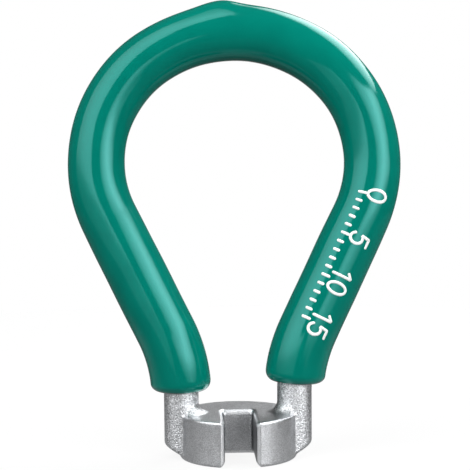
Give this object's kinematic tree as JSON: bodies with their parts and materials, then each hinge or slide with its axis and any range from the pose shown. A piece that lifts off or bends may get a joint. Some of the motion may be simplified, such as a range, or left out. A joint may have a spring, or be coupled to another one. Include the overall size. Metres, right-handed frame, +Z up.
{
  "type": "spoke wrench",
  "caption": "Spoke wrench with a slotted steel head on legs that rise into a teardrop finger loop dipped in glossy vinyl, for turning the nipples of wheel spokes.",
  "frame": {"origin": "centre of the head's flat underside, on the middle line of the slot", "axes": "+Z up along the spoke from the head to the loop's crown, +X across the loop, -Y the way the slot opens; the loop leans toward +Y"},
  "size_m": [0.0364, 0.0154, 0.0494],
  "materials": {
    "cast_steel": "blasted and plated casting, satin",
    "vinyl": "dipped vinyl, glossy",
    "print_ink": "white pad-printed ink"
  },
  "bodies": {
    "root": {"wrench_casting": "cast_steel", "vinyl_grip": "vinyl"}
  },
  "joints": []
}
